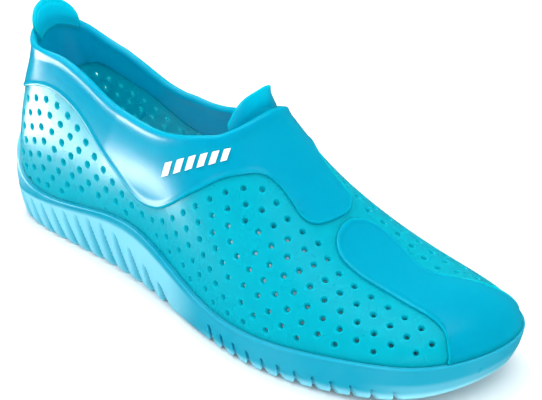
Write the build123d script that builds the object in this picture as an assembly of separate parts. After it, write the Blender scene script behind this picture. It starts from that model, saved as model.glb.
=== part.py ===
from build123d import *
import math
import os

import numpy as np

# A right-foot slip-on water shoe, moulded in soft translucent plastic.
# Axes while modelling: X from the heel back to the toe, Y across (the lateral
# side is -Y), Z up from the ground. Every length is in millimetres.
#
# The upper is one smooth form. A point of it has two coordinates: turn, the
# angle round the outline in degrees (0 heel, 90 lateral waist, 180 toe, 270
# medial waist), and rise, from 0 at the feather line, where upper and sole
# meet, to 1 at the ridge on top. A rise over 1 comes down on the other side.

LENGTH = 275.0

OUTLINE = [
    (7, -21.5), (24, -29), (60, -31), (108, -35), (150, -44), (186, -49.5), (215, -46.5), (240, -39),
    (260, -27), (271, -9), (275, 11), (270, 27), (252, 38), (222, 43), (188, 43), (150, 37),
    (108, 31.5), (60, 30), (24, 28), (7, 21),
]
RIDGE_X = (60.0, 243.0)
RIDGE_Z = [(60, 137), (100, 113), (130, 106), (150, 100), (170, 77), (200, 49.5), (225, 39), (243, 38)]
RIDGE_Y = [(50, 0), (130, 0), (200, 4), (250, 9)]
FEATHER_Z = [(0, 18), (20, 18), (60, 23), (110, 28.5), (150, 18), (190, 15.5), (230, 19), (275, 21.5)]
ROUNDNESS = [(0, 1.95), (20, 1.9), (40, 1.83), (63, 1.6), (89, 1.85), (115, 2.0), (180, 2.15)]
GROUND_FLAT = (22.0, 198.0)
HEEL_RISE = 4.0
TOE_SPRING = 6.0

# Lines on the form, as (turn from the heel, rise).
TOPLINE_LATERAL = [
    (0, 0.475), (12, 0.47), (22, 0.465), (37, 0.505), (49, 0.51), (59, 0.485), (67, 0.47), (74, 0.46),
    (81, 0.48), (86, 0.53), (90, 0.60), (92, 0.66), (94, 0.76),
]
TOPLINE_MEDIAL = [
    (0, 0.475), (15, 0.46), (24, 0.45), (36, 0.45), (48, 0.45), (57, 0.43), (66, 0.42), (74, 0.40),
    (81, 0.44), (86, 0.50), (90, 0.59), (92, 0.66), (94, 0.76),
]
PANEL_TOP_LATERAL = [
    (0, 0.28), (19, 0.30), (32, 0.36), (42, 0.39), (52, 0.37), (62, 0.29), (70, 0.21), (77, 0.155),
    (83, 0.18), (88, 0.27), (94, 0.44), (98, 0.59), (101, 0.70), (106, 0.77), (114, 0.775),
    (125, 0.75), (132, 0.73), (141, 0.71), (149, 0.65), (154, 0.58), (158, 0.48),
]
PANEL_TOP_MEDIAL = [
    (0, 0.28), (16, 0.29), (24, 0.325), (38, 0.33), (50, 0.33), (60, 0.29), (70, 0.21), (77, 0.155),
    (83, 0.18), (88, 0.27), (94, 0.44), (98, 0.59), (101, 0.70), (106, 0.78), (114, 0.80),
    (122, 0.82), (130, 0.83), (138, 0.87), (146, 0.88), (152, 0.84), (158, 0.72),
]
BUMPER_TOP = [(0, 0.15), (12, 0.14), (20, 0.11), (26, 0.07), (34, 0.04), (44, 0.02)]

THROAT_TURN = 94.0
BRIDGE_END_TURN = 116.5
SPINE_START_TURN = 118.5
TOE_CAP_TURN = 158.0

OVERLAY_WALL = 2.4
PANEL_WALL = 2.0
PANEL_RECESS = 0.8
JOINT_GAP_RISE = 0.003
JOINT_GAP_TURN = 0.2

SOLE_WALL = 3.4
SOLE_LIP = 1.2
SOLE_SEAT = 0.2
SOLE_FLOOR = 4.0
SOLE_TAPER = 0.965
SOLE_TAPER_HEIGHT = 22.0
SOLE_CENTRE = (125.0, 1.0)
BLOCK_HEIGHT = 45.0
LUG_HEIGHT = 2.2
LUG_INSET = 0.90
LUG_SHARE = 0.62
HEEL_LUGS = 11
FOREFOOT_LUGS = 9
HEEL_LUG_SPAN = (22.0, 144.0)
FOREFOOT_LUG_SPAN = (162.0, 240.0)
FLUTES = 14
FLUTE_SPAN_TURN = (14.0, 88.0)
FLUTE_RADIUS = 3.2
FLUTE_CENTRE_OUT = 2.0
FLUTE_TOP_MARGIN = 5.0
FLUTE_LEAN = 14.0
BUMPER_PROUD = 1.8
FOOTBED_THICKNESS = 3.0
FOOTBED_CLEARANCE = 0.6

TAB_REACH = 15.0
TAB_HEIGHT = 8.0
TAB_FLARE = 0.62
TAB_THICKNESS = 2.0
TAB_GAP = 0.4
TAB_SINK = 0.2
TONGUE_THICKNESS = 2.0
TONGUE_SINK = 4.0
TONGUE_DEPTH_TURN = 2.2
TONGUE_MEDIAL_SHARE = 0.85
# The tongue's top edge, from the lateral corner to the middle, as (rise of its root, x, y, z).
TONGUE_TIP = [
    (0.66, 147.5, -16.4, 87.0), (0.78, 149.0, -10.5, 95.0), (0.92, 153.5, -4.5, 100.3),
    (1.0, 154.2, 0.0, 101.3),
]
TONGUE_HEART = (132.0, 0.0, 72.0)
LEDGE_REACH = 34.0
LEDGE_RISE = (0.36, 0.455)
LEDGE_FLARE = 4.0
LEDGE_WALL = 0.35
LEDGE_GAP = 0.15
EMBLEM_BARS = 6
# Where bar number i starts: turn and rise as first + second * i + third * i * i.
EMBLEM_TURN = (83.04, 2.97, -0.135)
EMBLEM_RISE = (0.313, 0.0445, 0.0014)
# The first and the last bar: width in degrees, climb per degree, lean, height in rise.
EMBLEM_FIRST_BAR = (1.55, 0.0156, -0.12, 0.057)
EMBLEM_LAST_BAR = (0.86, 0.0363, -0.61, 0.049)
EMBLEM_THICKNESS = 0.35
EMBLEM_GAP = 0.08


def smooth(points, period=None):
    """The cubic curve through (at, value) pairs, with continuous curvature."""
    at = np.array([p[0] for p in points], float)
    value = np.array([p[1] for p in points], float)
    if period:
        at = np.append(at, at[0] + period)
        value = np.append(value, value[0])
    step = np.diff(at)
    slope = np.diff(value) / step
    count = len(at)
    rows = np.eye(count)
    right = np.zeros(count)
    for i in range(1, count - 1):
        rows[i, i - 1 : i + 2] = step[i - 1], 2 * (step[i - 1] + step[i]), step[i]
        right[i] = 6 * (slope[i] - slope[i - 1])
    if period:
        rows[0, -1] = -1
        rows[-1, 0], rows[-1, 1] = 2 * step[0], step[0]
        rows[-1, -1], rows[-1, -2] = 2 * step[-1], step[-1]
        right[-1] = 6 * (slope[0] - slope[-1])
    bend = np.linalg.solve(rows, right)

    def curve(x):
        x = at[0] + (x - at[0]) % period if period else min(max(x, at[0]), at[-1])
        k = min(max(int(np.searchsorted(at, x, side="right")) - 1, 0), count - 2)
        before, after, h = x - at[k], at[k + 1] - x, step[k]
        arc = (bend[k] * after**3 + bend[k + 1] * before**3) / (6 * h)
        line = (value[k] - bend[k] * h * h / 6) * after + (value[k + 1] - bend[k + 1] * h * h / 6) * before
        return arc + line / h

    return curve


def turn_at(x, y):
    """The turn of an outline point."""
    angle = math.degrees(math.acos(1 - 2 * x / LENGTH))
    return angle if y < 0 or x == LENGTH else 360 - angle


outline_y = smooth([(0, 0)] + [(turn_at(x, y), y) for x, y in OUTLINE], period=360)
ridge_z = smooth(RIDGE_Z)
ridge_y = smooth(RIDGE_Y)
feather_z = smooth(FEATHER_Z)
topline = {-1: smooth(TOPLINE_LATERAL), 1: smooth(TOPLINE_MEDIAL)}
panel_top = {-1: smooth(PANEL_TOP_LATERAL), 1: smooth(PANEL_TOP_MEDIAL)}
bumper_top = smooth(BUMPER_TOP)


def ground_z(x):
    """The height of the sole's underside: flat, then curving up at heel and toe."""
    behind = max(GROUND_FLAT[0] - x, 0) / GROUND_FLAT[0]
    ahead = max(x - GROUND_FLAT[1], 0) / (LENGTH - GROUND_FLAT[1])
    return HEEL_RISE * behind**2 + TOE_SPRING * ahead**2


def outline_point(turn, scale=1.0, lip=0.0):
    """A point of the outline, scaled about the sole's centre and moved out by lip."""
    x = LENGTH / 2 * (1 - math.cos(math.radians(turn)))
    dx, dy = x - SOLE_CENTRE[0], outline_y(turn) - SOLE_CENTRE[1]
    stretch = scale + lip / math.hypot(dx, dy)
    return SOLE_CENTRE[0] + dx * stretch, SOLE_CENTRE[1] + dy * stretch


def form(turn, rise):
    """A point of the upper's outer form."""
    if rise > 1:
        turn, rise = -turn, 2 - rise
    x = LENGTH / 2 * (1 - math.cos(math.radians(turn)))
    y, low = outline_y(turn), feather_z(x)
    top_x = RIDGE_X[0] + (RIDGE_X[1] - RIDGE_X[0]) * x / LENGTH
    power = 2 / np.interp(180 - abs(turn % 360 - 180), *zip(*ROUNDNESS))
    across = math.cos(rise * math.pi / 2) ** power
    up = math.sin(rise * math.pi / 2) ** power
    top_y, top_z = ridge_y(top_x), ridge_z(top_x)
    return np.array([top_x + (x - top_x) * across, top_y + (y - top_y) * across, low + (top_z - low) * up])


def wall_point(turn, rise, proud):
    """A point of the form moved out along the form's normal."""
    at = max(rise, 0.03)
    along = form(turn + 0.5, at) - form(turn - 0.5, at)
    upward = form(turn, at + 0.01) - form(turn, at - 0.01)
    normal = np.cross(along, upward)
    return Vector(*(form(turn, rise) + proud * normal / np.linalg.norm(normal)))


def walled_patch(outer, inner):
    """Two grids of points, one behind the other, closed into a solid wall."""
    faces = [Face.make_surface_from_array_of_points(grid, tol=0.03) for grid in (outer, inner)]
    middle = len(outer) // 2
    centre = len(outer[0]) // 2
    for row, column in ((0, centre), (-1, centre), (middle, 0), (middle, -1)):
        edges = [
            face.edges().sort_by_distance(grid[row][column])[0]
            for face, grid in zip(faces[:2], (outer, inner))
        ]
        faces.append(Face.make_surface_from_curves(*edges))
    solid = Solid(Shell(faces))
    return solid if solid.volume > 0 else Solid(solid.wrapped.Reversed())


def side_wall(side, turns, low, high, proud, thickness, rows=9):
    """A wall along one side of the form, between two lines of rise."""
    outer, inner = [], []
    for turn in turns:
        rises = np.linspace(low(turn), high(turn), rows)
        around = turn if side < 0 else -turn
        outer.append([wall_point(around, rise, proud) for rise in rises])
        inner.append([wall_point(around, rise, proud - thickness) for rise in rises])
    return walled_patch(outer, inner)


def arch_wall(turns, proud, thickness, rows=17):
    """A wall over the ridge, from the lateral panel line to the medial one."""
    outer, inner = [], []
    for turn in turns:
        low = panel_top[-1](turn) + JOINT_GAP_RISE
        high = 2 - panel_top[1](turn) - JOINT_GAP_RISE
        rises = np.linspace(low, high, rows)
        outer.append([wall_point(turn, rise, proud) for rise in rises])
        inner.append([wall_point(turn, rise, proud - thickness) for rise in rises])
    return walled_patch(outer, inner)


def perforated_panel(side):
    turns = np.linspace(JOINT_GAP_TURN, TOE_CAP_TURN - JOINT_GAP_TURN, 48)
    top = lambda turn: panel_top[side](turn) - JOINT_GAP_RISE
    return side_wall(side, turns, lambda turn: 0.0, top, -PANEL_RECESS, PANEL_WALL)


def quarter(side):
    turns = np.linspace(JOINT_GAP_TURN, THROAT_TURN - JOINT_GAP_TURN, 32)
    low = lambda turn: panel_top[side](turn) + JOINT_GAP_RISE
    return side_wall(side, turns, low, topline[side], 0.0, OVERLAY_WALL)


def instep_saddle():
    return arch_wall(np.linspace(THROAT_TURN + JOINT_GAP_TURN, BRIDGE_END_TURN, 12), 0.0, OVERLAY_WALL)


def toe_spine():
    return arch_wall(np.linspace(SPINE_START_TURN, TOE_CAP_TURN - JOINT_GAP_TURN, 16), 0.0, OVERLAY_WALL)


def toe_cap():
    """The smooth cap over the toes, open only in a hair-wide slit along the ridge."""
    outer, inner = [], []
    for turn in np.linspace(TOE_CAP_TURN + JOINT_GAP_TURN, 360 - TOE_CAP_TURN - JOINT_GAP_TURN, 24):
        rises = np.linspace(0.0, 0.985, 15)
        outer.append([wall_point(turn, rise, 0.0) for rise in rises])
        inner.append([wall_point(turn, rise, -OVERLAY_WALL) for rise in rises])
    return walled_patch(outer, inner)


def heel_bumper():
    """The part of the sole that climbs the back of the heel."""
    outer, inner = [], []
    reach = BUMPER_TOP[-1][0]
    for turn in np.linspace(-reach, reach, 21):
        rises = np.linspace(0.0, bumper_top(abs(turn)), 5)
        fade = math.cos(math.radians(turn)) ** 0.5
        outer.append([wall_point(turn, rise, BUMPER_PROUD * fade) for rise in rises])
        inner.append([wall_point(turn, rise, 0.1) for rise in rises])
    return walled_patch(outer, inner)


def outline_wire(z, scale, lip=0.0):
    points = [Vector(*outline_point(turn, scale, lip), z) for turn in range(0, 360, 6)]
    return Wire([Edge.make_spline(points, periodic=True)])


def tapered_block(low_scale, high_scale, lip, low_z, high_z):
    """A block with the outline's shape, a little smaller at its foot."""
    return Solid.make_loft([outline_wire(low_z, low_scale, lip), outline_wire(high_z, high_scale, lip)])


def side_profile(low, high):
    """A prism across the shoe between two lines seen from the side."""
    xs = [-12, *np.linspace(0, LENGTH, 23), 290]
    bottom = [Vector(x, 0, low(min(max(x, 0), LENGTH))) for x in xs]
    top = [Vector(x, 0, high(min(max(x, 0), LENGTH))) for x in reversed(xs)]
    edges = [
        Edge.make_spline(bottom),
        Edge.make_line(bottom[-1], top[0]),
        Edge.make_spline(top),
        Edge.make_line(top[-1], bottom[0]),
    ]
    return extrude(Face(Wire(edges)), 80, dir=(0, 1, 0), both=True)


def flutes():
    """Upright grooves round the heel and waist of the sole's wall, leaning back at their tops."""
    cutters = []
    for side in (-1, 1):
        for turn in np.linspace(*FLUTE_SPAN_TURN, FLUTES):
            x, y = outline_point(turn if side < 0 else -turn, 1.0, SOLE_LIP + FLUTE_CENTRE_OUT)
            tall = feather_z(x) - FLUTE_TOP_MARGIN
            groove = Solid.make_cylinder(FLUTE_RADIUS, tall, Plane((0, 0, 0)))
            cutters.append(groove.rotate(Axis.Y, FLUTE_LEAN).moved(Location((x, y, -2.0))))
    return cutters


def outsole():
    """The sole's floor and its wall, which rises to the feather line."""
    grow = SOLE_TAPER + (1.0 - SOLE_TAPER) * BLOCK_HEIGHT / SOLE_TAPER_HEIGHT
    base = lambda x: ground_z(x) + LUG_HEIGHT
    floor = lambda x: base(x) + SOLE_FLOOR
    shell = tapered_block(SOLE_TAPER, grow, SOLE_LIP, 0, BLOCK_HEIGHT)
    shell = shell & side_profile(base, lambda x: feather_z(x) - SOLE_SEAT)
    hollow = tapered_block(SOLE_TAPER, grow, SOLE_LIP - SOLE_WALL, 0, BLOCK_HEIGHT)
    hollow = hollow & side_profile(floor, lambda x: BLOCK_HEIGHT + 1)
    return (shell - hollow) - flutes()


def footbed():
    """The loose sheet that the foot stands on."""
    low = lambda x: ground_z(x) + LUG_HEIGHT + SOLE_FLOOR + 0.05
    high = lambda x: low(x) + FOOTBED_THICKNESS
    block = tapered_block(SOLE_TAPER, SOLE_TAPER, SOLE_LIP - SOLE_WALL - FOOTBED_CLEARANCE, 0, 40)
    return block & side_profile(low, high)


def tread_lugs(count, span):
    """Cross bars under the sole, each flat on the ground or raised with the toe spring."""
    room = tapered_block(LUG_INSET, LUG_INSET, 0.0, -1, 20)
    pitch = (span[1] - span[0]) / count
    lugs = []
    for i in range(count):
        x = span[0] + pitch * i
        bar = Solid.make_box(pitch * LUG_SHARE, 140, LUG_HEIGHT - 0.05)
        lugs.append((room & bar.moved(Location((x, -70, ground_z(x))))).solids()[0])
    return Compound(children=lugs)


def heel_pull_tab():
    """The rounded tab behind the ankle, which flares out from the cuff's edge."""
    outer, inner = [], []
    for turn in np.linspace(-TAB_REACH, TAB_REACH, 15):
        rim = topline[-1 if turn > 0 else 1](abs(turn))
        tall = TAB_HEIGHT * math.sqrt(1 - 0.97 * (turn / TAB_REACH) ** 2)
        shares = np.linspace(0, 1, 6)
        out = [TAB_FLARE * tall * share**1.3 for share in shares]
        lift = [Vector(0, 0, TAB_GAP + tall * share) for share in shares]
        outer.append([wall_point(turn, rim, o - TAB_SINK) + up for o, up in zip(out, lift)])
        inner.append([wall_point(turn, rim, o - TAB_SINK - TAB_THICKNESS) + up for o, up in zip(out, lift)])
    return walled_patch(outer, inner)


def heel_ledge():
    """The cuff's edge behind the ankle, which flares out in a crescent under the tab."""
    outer, inner = [], []
    for turn in np.linspace(-LEDGE_REACH, LEDGE_REACH, 17):
        fade = max(math.cos(math.radians(90 * turn / LEDGE_REACH)), 0) ** 0.7
        rises = np.linspace(*LEDGE_RISE, 6)
        flare = [LEDGE_FLARE * fade * share**1.2 for share in np.linspace(0, 1, 6)]
        pairs = list(zip(rises, flare))
        outer.append([wall_point(turn, rise, LEDGE_GAP + LEDGE_WALL + out) for rise, out in pairs])
        inner.append([wall_point(turn, rise, LEDGE_GAP + 0.7 * out) for rise, out in pairs])
    return walled_patch(outer, inner)


def tongue():
    """The short flap that stands up inside the throat, in front of the ankle."""
    medial = [(2 - rise, x, -y * TONGUE_MEDIAL_SHARE, z) for rise, x, y, z in reversed(TONGUE_TIP[:-1])]
    tips = TONGUE_TIP + medial
    tip_line = [smooth([(tip[0], tip[axis]) for tip in tips]) for axis in (1, 2, 3)]
    heart = Vector(*TONGUE_HEART)
    outer, inner = [], []
    for rise in np.linspace(tips[0][0], tips[-1][0], 15):
        root = wall_point(THROAT_TURN + TONGUE_DEPTH_TURN, rise, -TONGUE_SINK)
        rim = wall_point(THROAT_TURN - 0.5, rise, -TONGUE_SINK)
        tip = Vector(*[float(line(rise)) for line in tip_line])
        column = [root, root + (rim - root) * 0.5, rim, rim + (tip - rim) * 0.5, tip]
        outer.append(column)
        inner.append([point + (heart - point).normalized() * TONGUE_THICKNESS for point in column])
    return walled_patch(outer, inner)


def side_emblem(side):
    """A plain row of slanted bars on the quarter."""
    bars = []
    for i in range(EMBLEM_BARS):
        start, low = (first + second * i + third * i * i for first, second, third in (EMBLEM_TURN, EMBLEM_RISE))
        share = i / (EMBLEM_BARS - 1)
        ends = zip(EMBLEM_FIRST_BAR, EMBLEM_LAST_BAR)
        width, climb, lean, height = (a + (b - a) * share for a, b in ends)
        outer, inner = [], []
        for across in np.linspace(0, width, 3):
            foot = low + climb * across
            column = [(start + across + lean * up, foot + height * up) for up in np.linspace(0, 1, 4)]
            if side > 0:
                column = [(-turn, rise) for turn, rise in column]
            outer.append([wall_point(*spot, EMBLEM_GAP + EMBLEM_THICKNESS) for spot in column])
            inner.append([wall_point(*spot, EMBLEM_GAP) for spot in column])
        bars.append(walled_patch(outer, inner))
    return Compound(children=bars)


parts = {
    "outsole": outsole(),
    "heel_tread_lugs": tread_lugs(HEEL_LUGS, HEEL_LUG_SPAN),
    "forefoot_tread_lugs": tread_lugs(FOREFOOT_LUGS, FOREFOOT_LUG_SPAN),
    "heel_bumper": heel_bumper(),
    "footbed": footbed(),
    "perforated_panel_lateral": perforated_panel(-1),
    "perforated_panel_medial": perforated_panel(1),
    "quarter_lateral": quarter(-1),
    "quarter_medial": quarter(1),
    "instep_saddle": instep_saddle(),
    "toe_spine": toe_spine(),
    "toe_cap": toe_cap(),
    "tongue": tongue(),
    "heel_ledge": heel_ledge(),
    "heel_pull_tab": heel_pull_tab(),
    "side_emblem_lateral": side_emblem(-1),
    "side_emblem_medial": side_emblem(1),
}

boxes = [part.bounding_box() for part in parts.values()]
low_x, high_x = min(box.min.X for box in boxes), max(box.max.X for box in boxes)
low_y, high_y = min(box.min.Y for box in boxes), max(box.max.Y for box in boxes)
to_origin = Location((-(low_x + high_x) / 2, -(low_y + high_y) / 2, 0))
print("box in x", low_x, high_x, "in y", low_y, high_y)

os.makedirs("parts", exist_ok=True)
for name, part in parts.items():
    export_step(part.moved(to_origin), f"parts/{name}.step")
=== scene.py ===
import math

import bmesh
import bpy
import numpy as np
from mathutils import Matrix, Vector
from mathutils.geometry import delaunay_2d_cdt


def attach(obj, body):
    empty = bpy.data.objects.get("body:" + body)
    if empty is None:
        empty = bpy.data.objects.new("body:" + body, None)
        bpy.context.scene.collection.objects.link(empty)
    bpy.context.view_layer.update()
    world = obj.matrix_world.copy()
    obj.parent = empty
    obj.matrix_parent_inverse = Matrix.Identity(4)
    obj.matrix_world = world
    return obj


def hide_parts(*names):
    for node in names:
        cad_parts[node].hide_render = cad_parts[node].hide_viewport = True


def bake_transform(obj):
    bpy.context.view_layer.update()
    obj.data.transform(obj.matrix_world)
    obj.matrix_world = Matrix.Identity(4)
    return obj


# The looks of a right-foot slip-on water shoe, moulded in soft translucent plastic.
#
# The form is worked out in millimetres from the heel, as in the CAD source, and
# to_frame() turns it into metres in the shared frame. A point of the upper has two
# coordinates: turn, the angle round the outline (0 heel, 180 toe), and rise, from 0
# at the feather line on the lateral side, over the ridge at 1, to 2 at the feather
# line on the medial side.

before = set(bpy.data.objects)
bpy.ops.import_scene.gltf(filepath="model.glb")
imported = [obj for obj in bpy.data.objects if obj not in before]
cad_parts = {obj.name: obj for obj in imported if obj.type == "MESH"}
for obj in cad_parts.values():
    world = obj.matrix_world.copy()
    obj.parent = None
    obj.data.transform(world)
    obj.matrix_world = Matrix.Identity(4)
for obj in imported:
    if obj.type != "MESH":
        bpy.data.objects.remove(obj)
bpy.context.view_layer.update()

MM = 0.001
ORIGIN = (137.119, -2.903, 0.0)

# ------------------------------------------------------------------ the form's sizes

LENGTH = 275.0
OUTLINE = [
    (7, -21.5), (24, -29), (60, -31), (108, -35), (150, -44), (186, -49.5), (215, -46.5), (240, -39),
    (260, -27), (271, -9), (275, 11), (270, 27), (252, 38), (222, 43), (188, 43), (150, 37),
    (108, 31.5), (60, 30), (24, 28), (7, 21),
]
RIDGE_X = (60.0, 243.0)
RIDGE_Z = [(60, 137), (100, 113), (130, 106), (150, 100), (170, 77), (200, 49.5), (225, 39), (243, 38)]
RIDGE_Y = [(50, 0), (130, 0), (200, 4), (250, 9)]
FEATHER_Z = [(0, 18), (20, 18), (60, 23), (110, 28.5), (150, 18), (190, 15.5), (230, 19), (275, 21.5)]
ROUNDNESS = [(0, 1.95), (20, 1.9), (40, 1.83), (63, 1.6), (89, 1.85), (115, 2.0), (180, 2.15)]
# How far either side of the ridge the form is rounded, in rise.
RIDGE_BAND = 0.2
GROUND_FLAT = (22.0, 198.0)
HEEL_RISE = 4.0
TOE_SPRING = 6.0

TOPLINE = {
    "lateral": [
        (0, 0.475), (12, 0.47), (22, 0.465), (37, 0.505), (49, 0.51), (59, 0.485), (67, 0.47),
        (74, 0.46), (81, 0.48), (86, 0.53), (90, 0.60), (92, 0.66), (94, 0.76),
    ],
    "medial": [
        (0, 0.475), (15, 0.46), (24, 0.45), (36, 0.45), (48, 0.45), (57, 0.43), (66, 0.42),
        (74, 0.40), (81, 0.44), (86, 0.50), (90, 0.59), (92, 0.66), (94, 0.76),
    ],
}
PANEL_TOP = {
    "lateral": [
        (0, 0.28), (19, 0.30), (32, 0.36), (42, 0.39), (52, 0.37), (62, 0.29), (70, 0.21),
        (77, 0.155), (83, 0.18), (88, 0.27), (94, 0.44), (98, 0.59), (101, 0.70),
    ],
    "medial": [
        (0, 0.28), (16, 0.29), (24, 0.325), (38, 0.33), (50, 0.33), (60, 0.29), (70, 0.21),
        (77, 0.155), (83, 0.18), (88, 0.27), (94, 0.44), (98, 0.59), (101, 0.70),
    ],
}
# In front of the ankle the cuff crosses the instep: rows of
# (turn and rise on its upper edge, turn and rise on its lower edge).
BACK_TURNS = (0, 10, 20, 30, 40, 50, 58, 65, 71, 77, 82, 86.5)
BRIDGE = {
    "lateral": [
        (90.2, 0.605, 92.3, 0.39), (92.0, 0.66, 96.0, 0.52), (93.2, 0.73, 99.3, 0.64),
        (93.9, 0.80, 102.6, 0.745), (94.2, 0.86, 107.5, 0.783), (94.4, 0.91, 112.5, 0.777),
        (94.4, 0.955, 116.3, 0.835),
    ],
    "medial": [
        (90.2, 0.60, 92.3, 0.39), (92.0, 0.66, 96.0, 0.52), (93.2, 0.73, 99.3, 0.64),
        (93.9, 0.80, 102.6, 0.745), (94.2, 0.86, 107.5, 0.79), (94.4, 0.91, 112.5, 0.80),
        (94.4, 0.955, 116.3, 0.87),
    ],
}
BRIDGE_RIDGE = (94.4, 1.0, 118.0, 1.0)
# The toe cover's edge and the ridge point that faces it: (turn, rise, ridge turn).
COVER = {
    "lateral": [
        (119.6, 0.94, 125.0), (121.0, 0.845, 126.5), (124.5, 0.765, 129.0), (131.0, 0.732, 134.0),
        (138.0, 0.718, 140.0), (144.0, 0.69, 146.0), (150.5, 0.635, 152.0), (155.3, 0.56, 157.0),
        (158.2, 0.45, 161.0), (158.9, 0.33, 164.0), (158.9, 0.21, 167.0), (159.0, 0.09, 170.0),
        (159.5, -0.03, 172.0), (166.0, -0.03, 175.0), (173.0, -0.03, 178.0),
    ],
    "medial": [
        (119.6, 0.95, 125.0), (121.5, 0.865, 126.5), (125.5, 0.82, 129.0), (131.0, 0.83, 134.0),
        (138.0, 0.87, 140.0), (145.0, 0.905, 146.0), (151.0, 0.90, 152.0), (156.0, 0.83, 157.0),
        (158.9, 0.67, 161.0), (159.7, 0.48, 164.0), (159.8, 0.30, 167.0), (159.8, 0.13, 170.0),
        (159.5, -0.03, 172.0), (166.0, -0.03, 175.0), (173.0, -0.03, 178.0),
    ],
}
COVER_REAR = (119.3, 1.0, 125.0)
COVER_FRONT = {"lateral": (180.0, -0.03, 180.0), "medial": (180.0, 2.03, 180.0)}

PANEL_RECESS = 0.8
PANEL_WALL = 2.0
OVERLAY_WALL = 2.6
SKIRT = 0.03
SKIRT_DEPTH = 100.0
PANEL_OVERLAP = 0.6
RIM_RADIUS = 1.9
RIM_CENTRE = -1.25
LEDGE_REACH = 36.0
LEDGE_START = 0.375
LEDGE_FULL = 0.47
LEDGE_FLARE = 3.6
# Small steps that the form's directions are measured over, and how far they keep from its edges.
TURN_STEP = 0.5
RISE_STEP = 0.01
EDGE_GUARD = 0.03


def smooth(points, period=None):
    """The cubic curve through (at, value) pairs, with continuous curvature."""
    at = np.array([p[0] for p in points], float)
    value = np.array([p[1] for p in points], float)
    if period:
        at = np.append(at, at[0] + period)
        value = np.append(value, value[0])
    step = np.diff(at)
    slope = np.diff(value) / step
    count = len(at)
    rows = np.eye(count)
    right = np.zeros(count)
    for i in range(1, count - 1):
        rows[i, i - 1 : i + 2] = step[i - 1], 2 * (step[i - 1] + step[i]), step[i]
        right[i] = 6 * (slope[i] - slope[i - 1])
    if period:
        rows[0, -1] = -1
        rows[-1, 0], rows[-1, 1] = 2 * step[0], step[0]
        rows[-1, -1], rows[-1, -2] = 2 * step[-1], step[-1]
        right[-1] = 6 * (slope[0] - slope[-1])
    bend = np.linalg.solve(rows, right)

    def curve(x):
        x = np.asarray(x, float)
        x = at[0] + (x - at[0]) % period if period else np.clip(x, at[0], at[-1])
        k = np.clip(np.searchsorted(at, x, side="right") - 1, 0, count - 2)
        before, after, h = x - at[k], at[k + 1] - x, step[k]
        arc = (bend[k] * after**3 + bend[k + 1] * before**3) / (6 * h)
        line = (value[k] - bend[k] * h * h / 6) * after + (value[k + 1] - bend[k + 1] * h * h / 6) * before
        return arc + line / h

    return curve


def through(rows, samples):
    """A smooth line through rows of numbers, sampled evenly from the first row to the last."""
    at = np.linspace(0, len(rows) - 1, samples)
    return np.stack([smooth(list(enumerate(column)))(at) for column in zip(*rows)], axis=1)


def turn_at(x, y):
    """The turn of an outline point; the lateral side is the one with y below 0."""
    angle = math.degrees(math.acos(1 - 2 * x / LENGTH))
    return angle if y < 0 or x == LENGTH else 360 - angle


outline_y = smooth([(0, 0)] + [(turn_at(x, y), y) for x, y in OUTLINE], period=360)
ridge_z = smooth(RIDGE_Z)
ridge_y = smooth(RIDGE_Y)
feather_z = smooth(FEATHER_Z)
topline = {side: smooth(points) for side, points in TOPLINE.items()}
panel_top = {side: smooth(points) for side, points in PANEL_TOP.items()}


def station(turn):
    """The distance from the heel of an outline point."""
    return LENGTH / 2 * (1 - np.cos(np.radians(turn)))


def ground_z(x):
    """The height of the sole's underside: flat, then curving up at heel and toe."""
    behind = np.maximum(GROUND_FLAT[0] - x, 0) / GROUND_FLAT[0]
    ahead = np.maximum(x - GROUND_FLAT[1], 0) / (LENGTH - GROUND_FLAT[1])
    return HEEL_RISE * behind**2 + TOE_SPRING * ahead**2


def half_form(turn, rise):
    """Points of the upper's form, each side on its own. Past a feather line it goes straight down."""
    sunk = SKIRT_DEPTH * np.minimum(np.minimum(rise, 2 - rise), 0)
    medial = rise > 1
    around = np.where(medial, -turn, turn)
    share = np.clip(np.where(medial, 2 - rise, rise), 0, 1)
    x = station(around)
    y, low = outline_y(around), feather_z(x)
    top_x = RIDGE_X[0] + (RIDGE_X[1] - RIDGE_X[0]) * x / LENGTH
    power = 2 / np.interp(180 - np.abs(around % 360 - 180), *zip(*ROUNDNESS))
    across = np.maximum(np.cos(share * math.pi / 2), 0) ** power
    up = np.sin(share * math.pi / 2) ** power
    top_y, top_z = ridge_y(top_x), ridge_z(top_x)
    place = [top_x + (x - top_x) * across, top_y + (y - top_y) * across, low + (top_z - low) * up + sunk]
    return np.stack(place, axis=-1)


def form(turn, rise):
    """Points of the upper's outer form, rounded over the ridge where its two sides meet."""
    turn, rise = np.broadcast_arrays(np.asarray(turn, float), np.asarray(rise, float))
    ends = []
    for at in (1 - RIDGE_BAND, 1 + RIDGE_BAND):
        places = [half_form(turn, np.full_like(rise, at + step)) for step in (-RISE_STEP, 0, RISE_STEP)]
        ends.append((places[1], (places[2] - places[0]) / (2 * RISE_STEP) * 2 * RIDGE_BAND))
    (start, leaving), (end, arriving) = ends
    t = np.clip((rise - 1 + RIDGE_BAND) / (2 * RIDGE_BAND), 0, 1)[..., None]
    arch = (1 + 2 * t) * (1 - t) ** 2 * start + t * (1 - t) ** 2 * leaving
    arch += t * t * (3 - 2 * t) * end + t * t * (t - 1) * arriving
    return np.where((np.abs(rise - 1) < RIDGE_BAND)[..., None], arch, half_form(turn, rise))


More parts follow.
